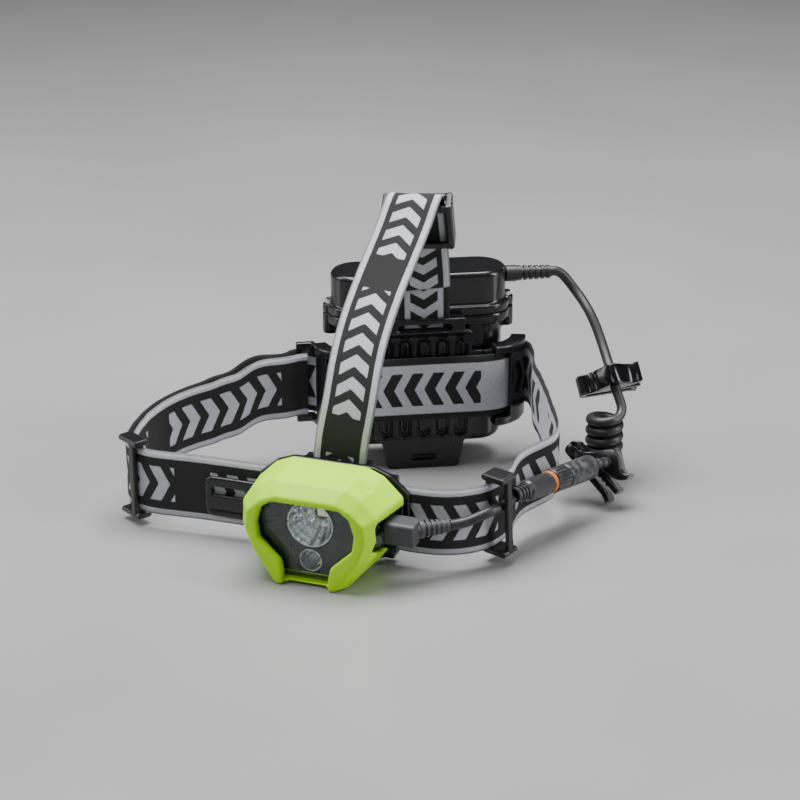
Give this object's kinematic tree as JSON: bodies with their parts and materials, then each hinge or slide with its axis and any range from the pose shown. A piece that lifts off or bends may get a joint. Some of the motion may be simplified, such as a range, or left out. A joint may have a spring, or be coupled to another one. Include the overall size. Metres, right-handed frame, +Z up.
{
  "type": "miner's cap lamp",
  "caption": "Cap lamp on a webbing head harness: tilting lamp head in front, separate battery pack in a cradle at the back, joined by a part-coiled cable with a connector and clips.",
  "frame": {"origin": "centre of the underside of the battery cradle's foot", "axes": "+Z up; the beam points along -Y, towards the lamp head; +X towards the cable side; the battery pack is turned 28 degrees about +Z"},
  "size_m": [0.1754, 0.1556, 0.1171],
  "materials": {
    "shroud_yellow_green": "satin moulded",
    "lens_clear": "gloss",
    "housing_black": "satin moulded",
    "trim_dark": "satin",
    "reflector_chrome": "mirror",
    "led_phosphor": "satin",
    "board_green": "satin",
    "heat_sink_aluminium": "matt",
    "steel": "satin",
    "switch_black": "satin",
    "button_black": "satin",
    "seal_black": "matt",
    "plug_grey": "matt",
    "plate_black": "gloss moulded",
    "webbing_black": "woven, light edge stripes",
    "slider_black": "satin",
    "cradle_black": "gloss moulded",
    "case_black": "satin",
    "lid_grey": "satin",
    "brass": "satin",
    "cell_green": "gloss",
    "spring_steel": "bright",
    "nickel": "bright",
    "cable_black": "satin",
    "connector_dark": "satin",
    "seal_orange": "satin",
    "clip_black": "gloss"
  },
  "bodies": {
    "head_harness": {"front_plate": "plate_black", "tilt_pin": "steel", "headband": "webbing_black", "headband_tail": "webbing_black", "top_strap": "webbing_black", "top_strap_tail": "webbing_black", "battery_cradle": "cradle_black", "cradle_screws": "steel", "battery_case": "case_black", "lid_screw_inserts": "brass", "battery_cells": "cell_green", "cell_springs": "spring_steel", "cell_link_plates": "nickel", "coiled_cable": "cable_black", "connector_socket": "connector_dark", "connector_pins": "nickel", "connector_seal": "seal_orange", "connector_plug": "connector_dark", "connector_strain_relief": "cable_black", "lamp_cable": "cable_black"},
    "lamp": {"lamp_shroud": "shroud_yellow_green", "lens_cover": "lens_clear", "lamp_housing": "housing_black", "housing_seal": "seal_black", "reflector_trim": "trim_dark", "main_reflector": "reflector_chrome", "main_led": "led_phosphor", "downcast_reflector": "reflector_chrome", "downcast_led": "led_phosphor", "led_board": "board_green", "heat_sink": "heat_sink_aluminium", "driver_board": "board_green", "tactile_switch": "switch_black", "housing_screws": "steel", "cable_plug_block": "plug_grey", "lamp_strain_relief": "plug_grey"},
    "mode_button": {"mode_button": "button_black"},
    "lid": {"battery_lid": "lid_grey", "lid_gasket": "seal_black", "lid_strain_relief": "cable_black", "battery_cable": "cable_black", "contact_board": "board_green", "lid_contacts": "nickel"},
    "lid_screw_left": {"lid_screw_left": "steel"},
    "lid_screw_right": {"lid_screw_right": "steel"},
    "connector_collar": {"connector_collar": "connector_dark"},
    "upper_cable_clip": {"upper_cable_clip": "clip_black"},
    "lower_cable_clip": {"lower_cable_clip": "clip_black"},
    "left_slider": {"left_slider": "slider_black"},
    "right_slider": {"right_slider": "slider_black"},
    "top_slider": {"top_slider": "slider_black"}
  },
  "joints": [
    {"name": "lamp_tilt", "type": "hinge", "parent": "head_harness", "child": "lamp", "pos_m": [0.0033, -0.097, 0.0019], "axis": [1, 0, 0], "range_deg": [0, 40]},
    {"name": "mode_button_press", "type": "slide", "parent": "lamp", "child": "mode_button", "axis": [1, 0, 0], "range_m": [0, 0.0008]},
    {"name": "lid_lift", "type": "slide", "parent": "head_harness", "child": "lid", "axis": [0, 0, 1], "range_m": [0, 0.03]},
    {"name": "lid_screw_left_turn", "type": "hinge", "parent": "lid", "child": "lid_screw_left", "pos_m": [-0.03028, -0.0161, 0.063], "axis": [0, 0, 1], "continuous": true},
    {"name": "lid_screw_right_turn", "type": "hinge", "parent": "lid", "child": "lid_screw_right", "pos_m": [0.03028, 0.0161, 0.063], "axis": [0, 0, 1], "continuous": true},
    {"name": "connector_collar_turn", "type": "hinge", "parent": "head_harness", "child": "connector_collar", "pos_m": [0.07241, -0.05256, 0.0216], "axis": [0.3401, 0.9358, -0.0928], "continuous": true},
    {"name": "upper_clip_swivel", "type": "hinge", "parent": "head_harness", "child": "upper_cable_clip", "pos_m": [0.077, 0.0046, 0.041], "axis": [0.4192, -0.499, -0.7585], "range_deg": [-30, 30]},
    {"name": "lower_clip_swivel", "type": "hinge", "parent": "head_harness", "child": "lower_cable_clip", "pos_m": [0.0832, -0.0196, 0.0164], "axis": [0.0401, 0.9318, -0.3607], "range_deg": [-4, 20]},
    {"name": "left_slider_adjust", "type": "slide", "parent": "head_harness", "child": "left_slider", "axis": [0.866, -0.5, 0], "range_m": [-0.0015, 0.0015]},
    {"name": "right_slider_adjust", "type": "slide", "parent": "head_harness", "child": "right_slider", "axis": [0.3414, 0.938, 0.0599], "range_m": [-0.0008, 0.002]},
    {"name": "top_slider_adjust", "type": "slide", "parent": "head_harness", "child": "top_slider", "axis": [-0.0499, 0.3692, -0.928], "range_m": [-0.002, 0.002]}
  ]
}
